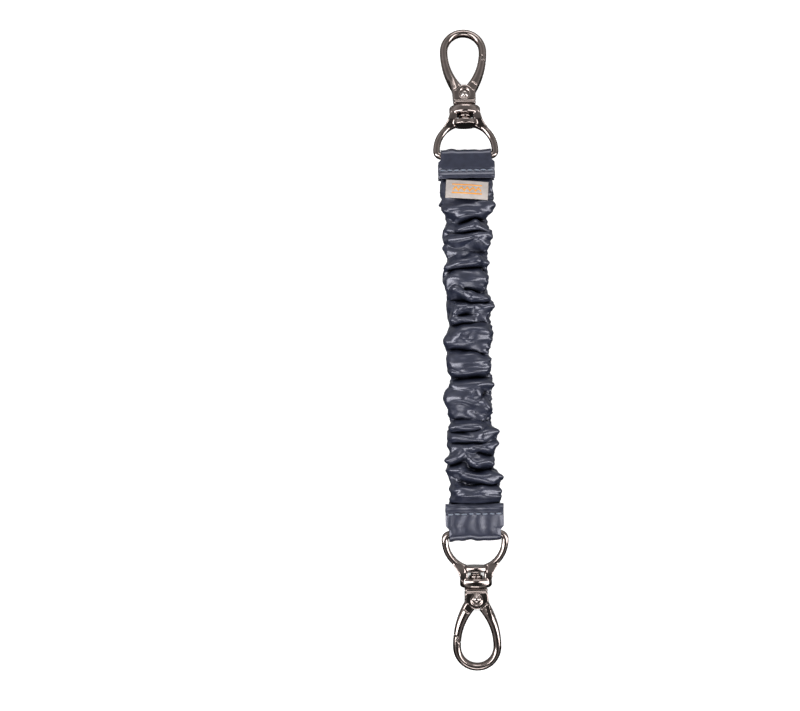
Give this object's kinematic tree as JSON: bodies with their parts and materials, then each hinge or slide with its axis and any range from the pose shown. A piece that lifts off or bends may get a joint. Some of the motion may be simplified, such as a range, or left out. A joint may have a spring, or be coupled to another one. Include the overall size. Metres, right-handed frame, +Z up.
{
  "type": "elastic lanyard",
  "caption": "Short elastic strap in a gathered fabric sleeve, with a sewn tab and a swivelling gated snap hook on a D-shaped eye at each end.",
  "frame": {"origin": "under the middle of the strap, on the surface it lies on", "axes": "+Y along the strap towards the upper hook, +Z up through the strap's face, +X to the side that has the sleeve's seam"},
  "size_m": [0.0308, 0.3008, 0.0135],
  "materials": {
    "gunmetal_casting": "black-nickel plated die casting, polished, dark and mirror-like",
    "plated_steel": "black-nickel plated steel pin, domed and polished",
    "spring_steel": "bare drawn spring wire",
    "satin_cloth": "blue-grey satin-weave nylon with a soft sheen",
    "tab_thread": "thick polyester sewing thread, lighter than the cloth",
    "seam_thread": "thin sewing thread in the cloth's colour",
    "elastic_webbing": "woven elastic webbing with rubber cores, dull",
    "label_cloth": "pale grey woven ribbon",
    "label_print": "flat orange woven decoration"
  },
  "bodies": {
    "upper_end": {"upper_tab": "satin_cloth", "upper_tab_stitching": "tab_thread", "elastic_webbing": "elastic_webbing", "gathered_sleeve": "satin_cloth", "sleeve_seam_thread": "seam_thread", "label": "label_cloth", "label_mark": "label_print"},
    "lower_end": {"lower_tab": "satin_cloth", "lower_tab_stitching": "tab_thread"},
    "upper_eye": {"upper_swivel_eye": "gunmetal_casting"},
    "upper_hook_body": {"upper_hook": "gunmetal_casting", "upper_swivel_washer": "gunmetal_casting", "upper_gate_pin": "plated_steel", "upper_gate_spring": "spring_steel"},
    "upper_gate_lever": {"upper_gate": "gunmetal_casting"},
    "lower_eye": {"lower_swivel_eye": "gunmetal_casting"},
    "lower_hook_body": {"lower_hook": "gunmetal_casting", "lower_swivel_washer": "gunmetal_casting", "lower_gate_pin": "plated_steel", "lower_gate_spring": "spring_steel"},
    "lower_gate_lever": {"lower_gate": "gunmetal_casting"}
  },
  "joints": [
    {"name": "strap_stretch", "type": "slide", "parent": "upper_end", "child": "lower_end", "axis": [0, -1, 0], "range_m": [0, 0.09], "stiffness_N_per_m": 400, "deforming": ["gathered_sleeve", "elastic_webbing", "sleeve_seam_thread"]},
    {"name": "upper_eye_pivot", "type": "hinge", "parent": "upper_end", "child": "upper_eye", "pos_m": [0, 0.088, 0.00671], "axis": [1, 0, 0], "range_deg": [-95, 103]},
    {"name": "lower_eye_pivot", "type": "hinge", "parent": "lower_end", "child": "lower_eye", "pos_m": [0, -0.088, 0.00671], "axis": [-1, 0, 0], "range_deg": [-95, 103]},
    {"name": "upper_swivel", "type": "hinge", "parent": "upper_eye", "child": "upper_hook_body", "pos_m": [0, 0.088, 0.00671], "axis": [0, 0.9975, -0.0707], "continuous": true},
    {"name": "lower_swivel", "type": "hinge", "parent": "lower_eye", "child": "lower_hook_body", "pos_m": [0, -0.088, 0.00671], "axis": [0, -0.9975, -0.0707], "continuous": true},
    {"name": "upper_gate_hinge", "type": "hinge", "parent": "upper_hook_body", "child": "upper_gate_lever", "pos_m": [0, 0.11753, 0.00461], "axis": [0, 0.0707, 0.9975], "range_deg": [0, 21], "stiffness_Nm_per_rad": 0.0015, "springref_deg": -68.75, "deforming": ["upper_gate_spring"]},
    {"name": "lower_gate_hinge", "type": "hinge", "parent": "lower_hook_body", "child": "lower_gate_lever", "pos_m": [0, -0.11753, 0.00461], "axis": [0, -0.0707, 0.9975], "range_deg": [0, 21], "stiffness_Nm_per_rad": 0.0015, "springref_deg": -68.75, "deforming": ["lower_gate_spring"]}
  ]
}
